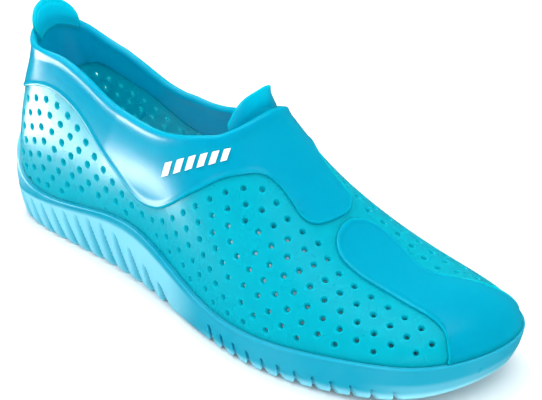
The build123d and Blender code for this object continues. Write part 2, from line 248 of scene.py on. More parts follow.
def slopes(turn, rise):
    """How the form moves with turn and with rise, and its outward direction."""
    rise = np.clip(rise, EDGE_GUARD, 2 - EDGE_GUARD)
    aside = np.where(np.abs(rise - 1) < EDGE_GUARD, 1 - EDGE_GUARD, rise)
    along = form(turn + TURN_STEP, aside) - form(turn - TURN_STEP, aside)
    upward = (form(turn, rise + RISE_STEP) - form(turn, rise - RISE_STEP)) / (2 * RISE_STEP)
    normal = np.cross(along, upward)
    return along, upward, normal / np.linalg.norm(normal, axis=-1, keepdims=True)


def wall(turn, rise, proud):
    """Points of the form moved out along its outward direction."""
    turn, rise, proud = np.broadcast_arrays(turn, rise, proud)
    return form(turn, rise) + proud[..., None] * slopes(turn, rise)[2]


def to_frame(points):
    """Millimetres from the heel as metres in the shared frame."""
    return (np.asarray(points, float) - ORIGIN) * MM


# ------------------------------------------------------------------------- materials


def node(tree, kind, **values):
    """A new shader node with some of its inputs or settings given."""
    made = tree.nodes.new(kind)
    for name, value in values.items():
        if name in made.inputs:
            made.inputs[name].default_value = value
        else:
            setattr(made, name, value)
    return made


def new_material(name):
    """A material with its node tree, the tree's link function and its shader."""
    material = bpy.data.materials.new(name)
    material.use_nodes = True
    tree = material.node_tree
    return material, tree, tree.links.new, tree.nodes["Principled BSDF"]


def plastic(name, deep, pale, roughness, gleam, reach=0.006, cloud=0.25, with_painted_light=False, transmission=0.0):
    """Soft glossy moulded plastic: clouded colour, a faint orange-peel skin, light carried inside.

    gleam is the strength of its reflections and reach how far light spreads inside it. With painted
    light on, the plastic is also painted paler where the mesh's attribute paints light, and keeps its deep
    colour where it paints shade.
    """
    material, tree, link, shader = new_material(name)
    place = node(tree, "ShaderNodeTexCoord")
    clouds = node(tree, "ShaderNodeTexNoise", Scale=22.0, Detail=3.0, Roughness=0.55)
    peel = node(tree, "ShaderNodeTexNoise", Scale=900.0, Detail=2.0, Roughness=0.5)
    waves = node(tree, "ShaderNodeTexNoise", Scale=70.0, Detail=2.0, Roughness=0.5)
    for texture in (clouds, peel, waves):
        link(place.outputs["Object"], texture.inputs["Vector"])
    mottle_and_painted_light = node(tree, "ShaderNodeMapRange")
    mottle_and_painted_light.inputs["From Min"].default_value = 0.35
    mottle_and_painted_light.inputs["From Max"].default_value = 0.75
    mottle_and_painted_light.inputs["To Max"].default_value = cloud
    link(clouds.outputs["Fac"], mottle_and_painted_light.inputs["Value"])
    colour = node(tree, "ShaderNodeMix", data_type="RGBA")
    colour.inputs["A"].default_value = (*deep, 1)
    colour.inputs["B"].default_value = (*pale, 1)
    amount = mottle_and_painted_light.outputs["Result"]
    # Painted light and shade: a per-point mesh attribute makes the colour paler where light is painted on.
    if with_painted_light:
        attribute = node(tree, "ShaderNodeAttribute", attribute_name="mottle_and_painted_light")
        both = node(tree, "ShaderNodeMath", operation="ADD", use_clamp=True)
        link(amount, both.inputs[0])
        link(attribute.outputs["Fac"], both.inputs[1])
        amount = both.outputs[0]
    link(amount, colour.inputs["Factor"])
    link(colour.outputs["Result"], shader.inputs["Base Color"])
    gloss = node(tree, "ShaderNodeMapRange")
    gloss.inputs["To Min"].default_value = roughness * 0.8
    gloss.inputs["To Max"].default_value = roughness * 1.2
    link(waves.outputs["Fac"], gloss.inputs["Value"])
    link(gloss.outputs["Result"], shader.inputs["Roughness"])
    ripple = node(tree, "ShaderNodeBump", Strength=0.06, Distance=0.0004)
    skin = node(tree, "ShaderNodeBump", Strength=0.05, Distance=0.00008)
    link(waves.outputs["Fac"], ripple.inputs["Height"])
    link(peel.outputs["Fac"], skin.inputs["Height"])
    link(ripple.outputs["Normal"], skin.inputs["Normal"])
    link(skin.outputs["Normal"], shader.inputs["Normal"])
    shader.inputs["Subsurface Weight"].default_value = 1.0
    shader.inputs["Subsurface Radius"].default_value = (0.35, 1.0, 1.0)
    shader.inputs["Subsurface Scale"].default_value = reach
    shader.inputs["Transmission Weight"].default_value = transmission
    shader.inputs["IOR"].default_value = 1.48
    shader.inputs["Specular IOR Level"].default_value = gleam
    return material


def foam(name, colour, shade):
    """Closed-cell foam with a fine pitted skin."""
    material, tree, link, shader = new_material(name)
    place = node(tree, "ShaderNodeTexCoord")
    cells = node(tree, "ShaderNodeTexVoronoi", Scale=700.0)
    clouds = node(tree, "ShaderNodeTexNoise", Scale=40.0, Detail=4.0)
    mix = node(tree, "ShaderNodeMix", data_type="RGBA")
    mix.inputs["A"].default_value = (*colour, 1)
    mix.inputs["B"].default_value = (*shade, 1)
    link(place.outputs["Object"], cells.inputs["Vector"])
    link(place.outputs["Object"], clouds.inputs["Vector"])
    link(clouds.outputs["Fac"], mix.inputs["Factor"])
    link(mix.outputs["Result"], shader.inputs["Base Color"])
    pits = node(tree, "ShaderNodeBump", Strength=0.35, Distance=0.0003)
    link(cells.outputs["Distance"], pits.inputs["Height"])
    link(pits.outputs["Normal"], shader.inputs["Normal"])
    shader.inputs["Roughness"].default_value = 0.75
    return material


def print_ink(name):
    """White print with a slightly uneven film."""
    material, tree, link, shader = new_material(name)
    place = node(tree, "ShaderNodeTexCoord")
    film = node(tree, "ShaderNodeTexNoise", Scale=400.0, Detail=4.0)
    mix = node(tree, "ShaderNodeMix", data_type="RGBA")
    mix.inputs["A"].default_value = (0.86, 0.93, 0.95, 1)
    mix.inputs["B"].default_value = (1.0, 1.0, 1.0, 1)
    link(place.outputs["Object"], film.inputs["Vector"])
    link(film.outputs["Fac"], mix.inputs["Factor"])
    link(mix.outputs["Result"], shader.inputs["Base Color"])
    relief = node(tree, "ShaderNodeBump", Strength=0.1, Distance=0.0001)
    link(film.outputs["Fac"], relief.inputs["Height"])
    link(relief.outputs["Normal"], shader.inputs["Normal"])
    shader.inputs["Roughness"].default_value = 0.4
    return material


UPPER = plastic("upper_plastic", (0.0, 0.42, 0.61), (0.0, 0.53, 0.72), 0.22, 0.1, transmission=0.3)
PANEL = plastic("panel_plastic", (0.0, 0.41, 0.52), (0.0, 0.50, 0.60), 0.28, 0.4, transmission=0.1)
# The sole's pale colour is painted light, put on by its mesh attribute; its deep colour shows as painted
# shade in the grooves and notches.
SOLE = plastic(
    "sole_plastic", (0.0, 0.34, 0.48), (0.32, 0.74, 0.86), 0.30, 0.25, reach=0.001, cloud=0.1, with_painted_light=True
)
FOOTBED = foam("footbed_foam", (0.80, 0.92, 0.95), (0.62, 0.85, 0.91))
INK = print_ink("emblem_print")


# ---------------------------------------------------------------------- mesh helpers

# Points closer than WELD metres become one, and edges sharper than CREASE degrees stay sharp.
WELD = 0.00002
CREASE = 38


def woven(grid, around=False, along=False):
    """The quads of a grid of points: around joins the last column to the first, along the rows."""
    rows, columns = grid.shape[:2]
    faces = []
    for i in range(rows if along else rows - 1):
        for j in range(columns if around else columns - 1):
            corners = ((i, j), (i, j + 1), (i + 1, j + 1), (i + 1, j))
            faces.append([(a % rows) * columns + b % columns for a, b in corners])
    return faces


def capped(grid):
    """The faces of closed rings, one for each column of the grid, with both ends filled in."""
    rings, columns = grid.shape[:2]
    return woven(grid, along=True) + [
        [i * columns + column for i in range(rings)] for column in (0, columns - 1)
    ]


def boxed(grid):
    """The faces of a closed cross-section, one for each row of the grid, with both ends filled in."""
    rows, columns = grid.shape[:2]
    return woven(grid, around=True) + [
        list(range(columns)), [rows * columns - 1 - k for k in range(columns)]
    ]


def piece(name, grid, faces, finish, stands_for, mottle_and_painted_light=None):
    """A smooth-shaded mesh object from points in millimetres, in place of some CAD nodes."""
    mesh = bpy.data.meshes.new(name)
    mesh.from_pydata(to_frame(grid.reshape(-1, 3)).tolist(), [], faces)
    # The sole's painted light and shade, point by point, go into a mesh attribute.
    if mottle_and_painted_light is not None:
        mesh.attributes.new("mottle_and_painted_light", "FLOAT", "POINT").data.foreach_set("value", np.ravel(mottle_and_painted_light))
    body = bmesh.new()
    body.from_mesh(mesh)
    bmesh.ops.remove_doubles(body, verts=body.verts, dist=WELD)
    loose = [corner for corner in body.verts if not corner.link_faces]
    bmesh.ops.delete(body, geom=loose, context="VERTS")
    bmesh.ops.recalc_face_normals(body, faces=body.faces)
    body.to_mesh(mesh)
    body.free()
    mesh.shade_smooth()
    mesh.set_sharp_from_angle(angle=math.radians(CREASE))
    mesh.materials.append(finish)
    made = bpy.data.objects.new(name, mesh)
    bpy.context.scene.collection.objects.link(made)
    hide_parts(*stands_for)
    return made


# ------------------------------------------------- the cuff: quarters, saddle and rim


def cuff_lines(samples=300):
    """The cuff's two edges, once round from the heel: rows of (turn, rise) above and below."""
    rows = {}
    for side in ("lateral", "medial"):
        back = [(t, float(topline[side](t)), t, float(panel_top[side](t))) for t in BACK_TURNS]
        rows[side] = back + BRIDGE[side]
    over = [(a, 2 - b, c, 2 - d) for a, b, c, d in reversed(rows["medial"])]
    line = through(rows["lateral"] + [BRIDGE_RIDGE] + over, samples)
    return line[:, :2], line[:, 2:]


def span_between(low, high, steps=14):
    """The length over the form from each point of one line to its partner on the other."""
    shares = np.linspace(0, 1, steps)[None, :, None]
    spots = low[:, None] + (high - low)[:, None] * shares
    return np.linalg.norm(np.diff(form(spots[..., 0], spots[..., 1]), axis=1), axis=-1).sum(axis=1)


# Across a moulded edge: (distance in from the edge, height over the form).
EDGE_OUTSIDE = [(0.0, -1.9), (0.02, -0.7), (0.3, 0.05), (0.85, 0.32), (1.6, 0.26), (2.6, 0.0)]
EDGE_INSIDE = [(1.6, -2.6), (0.5, -2.55), (0.0, -2.3)]
# Towards the rim, measured down from it: where the faces end, its outer shoulder, its inner side.
RIM_APPROACH = 5.5
RIM_SHOULDER = (3.4, 0.3)
RIM_INSIDE = (3.6, 0.2)
OUTER_STEPS = 14
INNER_STEPS = 12
RIM_STEPS = 11


def ledge_flare(turn, rise):
    """How far the cuff leans out behind the ankle."""
    from_back = np.abs(turn)
    fade = np.cos(np.radians(90 * np.clip(from_back / LEDGE_REACH, 0, 1))) ** 1.2
    height = np.where(rise > 1, 2 - rise, rise)
    lift = np.clip((height - LEDGE_START) / (LEDGE_FULL - LEDGE_START), 0, 1.2)
    return LEDGE_FLARE * fade * lift**1.6


def face_profile(low, high, proud, steps):
    """An even run of (share, height) across a face; steps below 0 run from high to low."""
    shares = np.linspace(0, 1, steps)[1:] if steps > 0 else np.linspace(1, 0, -steps)[:-1]
    return [(low + (high - low) * share, proud) for share in shares]


def swept(low, high, profile, lift=None):
    """Points of a cross-section carried along the strip of the form between two lines."""
    shares = np.stack([share for share, _ in profile], axis=1)[..., None]
    proud = np.array([height for _, height in profile])[None, :]
    spots = low[:, None] + (high - low)[:, None] * shares
    turn, rise = spots[..., 0], spots[..., 1]
    return wall(turn, rise, proud + lift(turn, rise) if lift else proud)


def cuff():
    """The quarters, the saddle and the flared back in one closed band with a rolled rim."""
    high, low = cuff_lines()
    width = span_between(low, high)
    first, last = EDGE_OUTSIDE[-1][0] / width, 1 - RIM_APPROACH / width
    profile = [(distance / width, proud) for distance, proud in EDGE_OUTSIDE]
    profile += face_profile(first, last, 0.0, OUTER_STEPS)
    profile.append((1 - RIM_SHOULDER[0] / width, RIM_SHOULDER[1]))
    for angle in np.radians(np.linspace(90, -90, RIM_STEPS)):
        down = RIM_RADIUS * (1 - math.cos(angle))
        profile.append((1 - down / width, RIM_CENTRE + RIM_RADIUS * math.sin(angle)))
    profile.append((1 - RIM_INSIDE[0] / width, -OVERLAY_WALL - RIM_INSIDE[1]))
    profile += face_profile(first, last, -OVERLAY_WALL, -INNER_STEPS)
    profile += [(distance / width, proud) for distance, proud in EDGE_INSIDE]
    grid = swept(low, high, profile, ledge_flare)
    nodes = ("quarter_lateral", "quarter_medial", "instep_saddle", "heel_ledge")
    made = piece("ankle_cuff", grid, woven(grid, around=True), UPPER, nodes)
    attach(made, "shoe")


# ------------------------------------------------------ the toe cover: spine and cap


def cover_lines(samples=320):
    """The toe cover's edge, from the toe up the lateral side and down the medial, and its ridge line."""
    lateral = [COVER_FRONT["lateral"]] + COVER["lateral"][::-1]
    medial = [(turn, 2 - rise, ridge) for turn, rise, ridge in COVER["medial"]] + [COVER_FRONT["medial"]]
    line = through(lateral + [COVER_REAR] + medial, samples + 1)
    edge = line[:, :2]
    middle = samples // 2
    half = line[: middle + 1, 2]
    ridge = np.concatenate([half, half[-2::-1]])
    ridge = np.maximum(ridge, COVER_REAR[2])
    return edge, np.stack([ridge, np.ones_like(ridge)], axis=1)


def toe_cover():
    """The spine and the cap in one raised sheet, whose two sides meet on the ridge."""
    edge, ridge = cover_lines()
    width = span_between(edge, ridge)
    first = EDGE_OUTSIDE[-1][0] / width
    profile = face_profile(first, 1, -OVERLAY_WALL, -INNER_STEPS)
    profile += [(distance / width, proud) for distance, proud in EDGE_INSIDE + EDGE_OUTSIDE]
    profile += face_profile(first, 1, 0.0, OUTER_STEPS)
    grid = swept(edge, ridge, profile)
    made = piece("toe_cover", grid, woven(grid), UPPER, ("toe_spine", "toe_cap"))
    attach(made, "shoe")


# ---------------------------------------------------------------- perforated panels

# Millimetres for each unit of turn and of rise, where the surface is treated as flat.
CHART = np.array([2.3, 95.0])
FEATHER_END = 160.0
BORDER_PITCH = 1.5
# The turns where a panel's border leaves the cuff, and where it joins and leaves the toe cover.
CUFF_BORDER_END = 115.8
COVER_BORDER = (121.5, 163.0)
FIRST_ROW = 5.6
ROW_STEP = 6.9
HOLE_PITCH = 8.2
HOLE_SPACING = 6.6
HOLE_MARGIN = 4.2
FEATHER_MARGIN = 4.7
MOST_ROWS = 15
LAST_HOLE_TURN = 158
HEEL_HOLE_RADIUS = 1.6
FOREFOOT_HOLE_RADIUS = 1.35
HOLE_CORNERS = 18
HOLE_ROUNDING = 0.35
HOLE_TAPER = 0.5
HOLE_SINK = 0.3
# Spacing in turn and rise of the points between the holes, and their gaps to holes and edges.
FILL_STEPS = (1.2, 0.026)
FILL_GAPS = (1.1, 1.0)


def chart_step(turn, rise, offset):
    """The change of turn and rise that moves a point of the form by offset, in millimetres."""
    along, upward, _ = slopes(turn, rise)
    aa, ab, bb = (along * along).sum(-1), (along * upward).sum(-1), (upward * upward).sum(-1)
    pa, pb = (along * offset).sum(-1), (upward * offset).sum(-1)
    fall = aa * bb - ab * ab
    return np.stack([(pa * bb - pb * ab) / fall, (pb * aa - pa * ab) / fall], axis=-1)


def evened(line, pitch, start=0.0):
    """Points every pitch millimetres along a line over the form."""
    reach = np.linalg.norm(np.diff(form(*line.T), axis=0), axis=1)
    at = np.concatenate([[0], np.cumsum(reach)])
    wanted = np.arange(start, at[-1], pitch)
    return np.stack([np.interp(wanted, at, line[:, k]) for k in (0, 1)], axis=1)


def stepped_in(line, distance, inward):
    """The line moved over the form, away from its own side of the panel's edge."""
    spots = form(*line.T)
    forward = np.gradient(spots, axis=0)
    forward /= np.linalg.norm(forward, axis=1, keepdims=True)
    across = np.cross(slopes(*line.T)[2], forward)
    if (chart_step(line[:, 0], line[:, 1], across)[:, 1] * inward).mean() < 0:
        across = -across
    moved = line + chart_step(line[:, 0], line[:, 1], across * distance)
    kernel = np.ones(5) / 5
    padded = np.pad(moved, ((2, 2), (0, 0)), mode="reflect", reflect_type="odd")
    return np.stack([np.convolve(padded[:, k], kernel, mode="valid") for k in (0, 1)], axis=1)


def height_from_feather(line, sign):
    """Rise counted from the side's own feather line: sign is 1 for lateral and -1 for medial."""
    return line[..., 1] if sign > 0 else 2 - line[..., 1]


def panel_borders():
    """The panels' upper edges, from the heel to the toe end, with each side's sign."""
    _, cuff_edge = cuff_lines()
    cover_edge, _ = cover_lines()
    borders = {}
    for sign in (1, -1):
        back, front = (line[(line[:, 1] - 1) * sign < -0.02] for line in (cuff_edge, cover_edge))
        back, front = back[::sign], front[::-sign]
        back = back[back[:, 0] < CUFF_BORDER_END]
        inside = (front[:, 0] > COVER_BORDER[0]) & (front[:, 0] < COVER_BORDER[1])
        front = front[inside & (height_from_feather(front, sign) > 0.1)]
        borders[sign] = evened(np.concatenate([back, front]), BORDER_PITCH)
    return borders


def perforations():
    """The holes' centres, in rows that follow the panels' upper edges."""
    kept, places = [], []
    borders = panel_borders()
    edges = form(*np.concatenate(list(borders.values())).T)
    for sign, border in borders.items():
        row = stepped_in(border, FIRST_ROW, -sign)
        for number in range(MOST_ROWS):
            for spot in evened(row, HOLE_PITCH, HOLE_PITCH / 2 * (number % 2)):
                on_side = 0.02 <= height_from_feather(spot, sign) <= 0.98
                place = form(*spot)
                clear_of_sole = place[2] - feather_z(station(spot[0])) >= FEATHER_MARGIN
                if not (0 <= spot[0] < LAST_HOLE_TURN and on_side and clear_of_sole):
                    continue
                if np.linalg.norm(edges - place, axis=1).min() < HOLE_MARGIN:
                    continue
                if places and np.linalg.norm(np.array(places) - place, axis=1).min() < HOLE_SPACING:
                    continue
                kept.append(spot)
                places.append(place)
            row = evened(stepped_in(row, ROW_STEP, -sign), BORDER_PITCH)
            row = row[(height_from_feather(row, sign) > 0.0) & (row[:, 0] >= 0)]
            if len(row) < 8:
                break
    return np.array(kept)


def hole_ring(spot, radius):
    """A circle on the form round a point, as turns and rises."""
    along, _, normal = slopes(*spot)
    first = along / np.linalg.norm(along)
    second = np.cross(normal, first)
    angles = np.radians(np.arange(HOLE_CORNERS) * 360 / HOLE_CORNERS)[:, None]
    offset = radius * (np.cos(angles) * first + np.sin(angles) * second)
    turns, rises = np.full(HOLE_CORNERS, spot[0]), np.full(HOLE_CORNERS, spot[1])
    return spot + chart_step(turns, rises, offset)


def widened(line, distance):
    """A line in turn and rise moved to its left by a distance in millimetres."""
    forward = np.gradient(line * CHART, axis=0)
    forward /= np.linalg.norm(forward, axis=1, keepdims=True)
    left = np.stack([-forward[:, 1], forward[:, 0]], axis=1)
    return line + distance * left / CHART


def panel_outline():
    """The panels' whole edge, as turns and rises: one strip from heel to heel round the toe cover."""
    _, cuff_edge = cuff_lines()
    cover_edge, _ = cover_lines()
    inside = np.abs(cover_edge[:, 1] - 1) < 1 + SKIRT - 0.004
    cover_edge = widened(cover_edge[inside], -PANEL_OVERLAP)
    cuff_edge = widened(cuff_edge, PANEL_OVERLAP)[::-1]
    cuff_edge[[0, -1], 0] = 0.0
    cuff_edge[0, 1] = 2 - cuff_edge[-1, 1]
    feather = np.linspace(0, FEATHER_END, 110)
    lateral = np.stack([feather, np.full_like(feather, -SKIRT)], axis=1)
    medial = np.stack([feather, np.full_like(feather, 2 + SKIRT)], axis=1)[::-1]
    heel = np.linspace(-SKIRT, float(cuff_edge[-1, 1]), 12)[1:-1]
    medial_heel = np.stack([np.zeros_like(heel), 2 - heel], axis=1)
    lateral_heel = np.stack([np.zeros_like(heel), heel], axis=1)[::-1]
    return np.concatenate([lateral, cover_edge, medial, medial_heel, cuff_edge, lateral_heel])


def within(points, outline):
    """Which points lie inside a closed outline, by the crossings to their right."""
    x, y = points[:, :1], points[:, 1:]
    (x1, y1), (x2, y2) = outline.T, np.roll(outline, -1, axis=0).T
    crossing = (y1 > y) != (y2 > y)
    at = x1 + (y - y1) * (x2 - x1) / np.where(y2 == y1, 1, y2 - y1)
    return (crossing & (at > x)).sum(axis=1) % 2 == 1


def panel_points(outline, holes):
    """The flat layout of the panels: points, the edges that have to stay, and each rim point's hole."""
    points = [outline]
    edges = [(i, (i + 1) % len(outline)) for i in range(len(outline))]
    total = len(outline)
    ring_of = {}
    radii = np.where(holes[:, 0] < 80, HEEL_HOLE_RADIUS, FOREFOOT_HOLE_RADIUS)
    for number, (spot, radius) in enumerate(zip(holes, radii)):
        for grown in (0.0, HOLE_ROUNDING):
            points.append(hole_ring(spot, radius + grown))
            for k in range(HOLE_CORNERS):
                edges.append((total + k, total + (k + 1) % HOLE_CORNERS))
                if grown == 0.0:
                    ring_of[total + k] = number
            total += HOLE_CORNERS
    turns = np.arange(FILL_STEPS[0], FEATHER_END, FILL_STEPS[0])
    filling = np.stack(np.meshgrid(turns, np.arange(-0.005, 2.01, FILL_STEPS[1])), axis=-1).reshape(-1, 2)
    clear = np.ones(len(filling), bool)
    for others, gap in ((holes, HEEL_HOLE_RADIUS + FILL_GAPS[0]), (outline, FILL_GAPS[1])):
        apart = np.linalg.norm(form(*filling.T)[:, None] - form(*others.T)[None], axis=2)
        clear &= apart.min(axis=1) > gap
    points.append(filling[clear])
    return np.concatenate(points), edges, ring_of


def perforated_sides():
    """Both thin side panels in one sheet, with holes that narrow towards the foot."""
    holes = perforations()
    outline = panel_outline()
    flat, edges, ring_of = panel_points(outline, holes)
    layout = [Vector(point) for point in (flat * CHART).tolist()]
    coords, _, triangles, origins, _, _ = delaunay_2d_cdt(layout, edges, [], 1, 1e-6, True)
    ring = np.array([ring_of.get(ids[0], -1) if ids else -1 for ids in origins])
    on_rim = ring >= 0
    triangles = np.array(triangles)
    spots = np.array([tuple(c) for c in coords]) / CHART
    triangles = triangles[~on_rim[triangles].all(axis=1) & within(spots[triangles].mean(axis=1), outline)]
    outer = wall(*spots.T, np.where(on_rim, -PANEL_RECESS - HOLE_SINK, -PANEL_RECESS))
    centres = holes[ring[on_rim]]
    deeper = spots.copy()
    deeper[on_rim] = centres + HOLE_TAPER * (spots[on_rim] - centres)
    inner = wall(*deeper.T, np.full(len(spots), -PANEL_RECESS - PANEL_WALL))
    count = len(spots)
    directed = {(a, b) for t in triangles.tolist() for a, b in ((t[0], t[1]), (t[1], t[2]), (t[2], t[0]))}
    faces = triangles.tolist() + (triangles[:, ::-1] + count).tolist()
    seam = spots[:, 0] < 0.01
    for a, b in sorted(directed):
        if (b, a) not in directed and not (seam[a] and seam[b]):
            faces.append([b, a, a + count, b + count])
    nodes = ("perforated_panel_lateral", "perforated_panel_medial")
    made = piece("perforated_sides", np.concatenate([outer, inner]), faces, PANEL, nodes)
    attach(made, "shoe")


# ------------------------------------------------------------------ the sole unit

SOLE_CENTRE = (125.0, 1.0)
SOLE_TAPER = 0.965
SOLE_LIP = 1.2
SOLE_WALL = 3.4
SOLE_FLOOR = 4.0
LUG_HEIGHT = 2.2
BUMPER_TOP = [
    (0, 0.15), (12, 0.14), (20, 0.11), (26, 0.07), (34, 0.04), (44, 0.02),
    (54, 0.016), (180, 0.016),
]
bumper_top = smooth(BUMPER_TOP)
FLUTE_PITCH = 7.6
FLUTE_SPREAD = 0.12
FLUTES_EACH_SIDE = 16
FLUTE_DEPTH = 2.6
NOTCH_STATIONS = (166.0, 254.0)
NOTCHES = 12
NOTCH_DEPTH = 2.4
# Along the wall, as shares of its height: the rolled lower edge, then even steps to the top.
WALL_SHARES = [-0.02, 0.0, 0.03, 0.07] + np.linspace(0.12, 0.98, 24).tolist()
CURL = 2.2
CURL_SHARE = 0.12
BELLY = 0.9
# The bead over the wall, as (share of the bumper's height, height over the form).
BEAD = [(0.3, 1.2), (0.7, 1.15), (0.9, 1.0), (0.97, 0.7), (1.0, 0.1), (1.0, -1.6)]


def sole_point(turn, z, lip):
    """A point of the sole's outline at height z, moved out by lip. The sole narrows towards the ground."""
    x = station(turn)
    dx, dy = x - SOLE_CENTRE[0], outline_y(turn) - SOLE_CENTRE[1]
    scale = SOLE_TAPER + (1 - SOLE_TAPER) * (z - ground_z(x)) / (feather_z(x) - ground_z(x))
    stretch = scale + lip / np.hypot(dx, dy)
    shape = np.broadcast(x, stretch).shape
    place = [SOLE_CENTRE[0] + dx * stretch, SOLE_CENTRE[1] + dy * stretch, np.broadcast_to(z, shape)]
    return np.stack([np.broadcast_to(part, shape) for part in place], axis=-1)


def shrunk(ring, inset):
    """A ring drawn in towards the sole's centre."""
    ring = ring.copy()
    ring[..., :2] = np.array(SOLE_CENTRE) + (ring[..., :2] - SOLE_CENTRE) * inset
    return ring


def swell(x):
    """0 below 0, 1 above 1, smooth in between."""
    x = np.clip(x, 0, 1)
    return x * x * (3 - 2 * x)


def flute_depth(reach, share):
    """How deep the leaning, drop-shaped grooves of heel and waist cut, from 0 to 1."""
    depth = np.zeros(np.broadcast(reach, share).shape)
    for side in (-1, 1):
        for k in range(FLUTES_EACH_SIDE):
            centre = FLUTE_PITCH * (k + 0.5) + FLUTE_SPREAD * (k + 0.5) ** 2
            lean = 3.0 + 9.0 * (centre / 150) ** 1.5
            top = 0.86 - 0.42 * swell((centre - 95) / 60)
            middle = side * (centre - lean * (share - 0.35))
            drop = np.clip((top - share) / top, 0, 1)
            half = (FLUTE_PITCH + 0.03 * centre) * (0.07 + 0.33 * drop**0.7)
            across = np.clip(1 - ((reach - middle) / half) ** 2, 0, 1)
            depth = np.maximum(depth, across**0.8 * swell(drop / 0.18))
    return depth


def notch_depth(reach, share, arc_at):
    """How deep the short slits along the forefoot's lower edge cut, from 0 to 1."""
    depth = np.zeros(np.broadcast(reach, share).shape)
    for side in (-1, 1):
        for k in range(NOTCHES):
            x = NOTCH_STATIONS[0] + (NOTCH_STATIONS[1] - NOTCH_STATIONS[0]) * k / (NOTCHES - 1)
            tall = 0.66 - 0.26 * k / (NOTCHES - 1)
            middle = side * (arc_at(x) - 3.0 * (share / tall) ** 2)
            half = 0.9 + 1.1 * max(1 - share / tall, 0)
            across = np.clip(1 - (np.abs(reach - middle) / half) ** 1.5, 0, 1)
            depth = np.maximum(depth, across * swell((tall - share) / 0.15))
    return depth


def distances_round(turns):
    """How far each turn is from the heel along the outline, below 0 on the medial side, and a
    function that gives the lateral distance at a station."""
    spots = form(turns, 0.0)
    steps = np.linalg.norm(np.roll(spots, -1, axis=0) - spots, axis=1)
    reach = np.concatenate([[0], np.cumsum(steps)[:-1]])
    lateral = turns <= 180
    reach = np.where(lateral, reach, reach - steps.sum())
    return reach, lambda x: float(np.interp(x, station(turns[lateral]), reach[lateral]))


def sole_wall(turns, reach, arc_at):
    """Rings of the sole's outer wall from the ground up, each with its painted light and shade."""
    x = station(turns)
    low, high = ground_z(x), feather_z(x) - 0.2
    forefoot = swell((x - 150) / 25)
    for share in WALL_SHARES:
        flute = flute_depth(reach, share)
        notch = notch_depth(reach, share, arc_at)
        curl = -CURL * (max(CURL_SHARE - share, 0) / CURL_SHARE) ** 2
        belly = BELLY * math.sin(math.pi * max(share, 0)) ** 0.8
        z = low + (high - low) * max(share, 0)
        lift = (flute * 1.5 + notch * 2.2) * swell(1 - share / 0.15)
        bite = FLUTE_DEPTH * flute + NOTCH_DEPTH * notch
        ring = sole_point(turns, z + lift, SOLE_LIP + curl + belly - bite)
        # Painted light and shade: the ribs behind the waist, the forefoot's lower band and the toe's lower
        # front are painted pale; the grooves and the notches keep the deep colour as painted shade.
        rib = 0.7 * (1 - flute) * swell((0.93 - share) / 0.06) * (1 - swell((x - 128) / 30))
        foot = forefoot * 0.75 * swell((0.34 - share) / 0.2) * (1 - 0.6 * notch)
        toe = 0.3 * swell((x - 235) / 25) * swell((0.62 - share) / 0.15)
        yield ring, np.clip(rib + foot + toe, 0, 1)


def sole_unit():
    """The outsole and the heel bumper in one: underside, fluted wall, bead, and the inside."""
    turns = np.linspace(0, 360, 1100, endpoint=False)
    reach, arc_at = distances_round(turns)
    reach, turns = reach[:, None], turns[:, None]
    x = station(turns)
    plain = np.zeros_like(reach)
    underside = sole_point(turns, ground_z(x) + LUG_HEIGHT, 0.0)
    rings = [(shrunk(underside, inset), plain) for inset in (0.02, 0.25, 0.5, 0.75, 0.9)]
    rings += sole_wall(turns, reach, arc_at)
    around = np.where(turns > 180, 360 - turns, turns)
    for climb, proud in BEAD:
        ring = wall(turns, bumper_top(around) * climb, np.full_like(turns, proud))
        # The bead is painted pale towards the heel: painted light.
        rings.append((ring, 0.75 * swell((40 - around) / 25)))
    floor = ground_z(x) + LUG_HEIGHT + SOLE_FLOOR
    rings.append((sole_point(turns, feather_z(x) - 1.7, SOLE_LIP - SOLE_WALL), plain))
    rings.append((sole_point(turns, floor, SOLE_LIP - SOLE_WALL), plain))
    rings += [(shrunk(sole_point(turns, floor, 0.0), inset), plain) for inset in (0.5, 0.02)]
    grid = np.concatenate([ring for ring, _ in rings], axis=1)
    # Every ring's painted light and shade, point by point.
    mottle_and_painted_light = np.concatenate([mottle_and_painted_light for _, mottle_and_painted_light in rings], axis=1)
    made = piece("sole_unit", grid, capped(grid), SOLE, ("outsole", "heel_bumper"), mottle_and_painted_light)
    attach(made, "shoe")


# -------------------------------------------------------------------------- insole


INSOLE_THICKNESS = 3.0
INSOLE_DISH = 0.7
INSOLE_GAP = 0.8
# The insole's edge, as (inset, height), from the middle of its underside up.
INSOLE_EDGE = [(0.02, 0.0), (0.6, 0.0), (0.97, 0.0), (1.0, 0.8), (1.0, 2.4), (0.985, INSOLE_THICKNESS)]


def insole():
    """A loose foam sheet with a soft edge, a little dished."""
    turns = np.linspace(0, 360, 260, endpoint=False)[:, None]
    floor = ground_z(station(turns)) + LUG_HEIGHT + SOLE_FLOOR + 0.1
    base = sole_point(turns, floor, SOLE_LIP - SOLE_WALL - INSOLE_GAP)
    insets = (0.9, 0.75, 0.6, 0.45, 0.3, 0.15, 0.02)
    top = [(inset, INSOLE_THICKNESS - INSOLE_DISH * (1 - inset)) for inset in insets]
    rings = [shrunk(base, inset) + np.array([0.0, 0.0, height]) for inset, height in INSOLE_EDGE + top]
    grid = np.concatenate(rings, axis=1)
    made = piece("insole", grid, capped(grid), FOOTBED, ("footbed",))
    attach(made, "shoe")


# ------------------------------------------------------------------- tab and tongue

TAB_REACH = 15.0
TAB_HEIGHT = 8.0
TAB_FLARE = 0.62
TAB_WALL = 2.0
TAB_ROOT = 3.0
TAB_SEAT = 0.4
TAB_BEAD = 1.25
TAB_HINGE = (15.9, 0.0, 98.3)
# Heights above the hinge of the start and end of a bend in the tab; the script works these points out but
# does not use them.
TAB_BEND = (-1.5, 2.5)


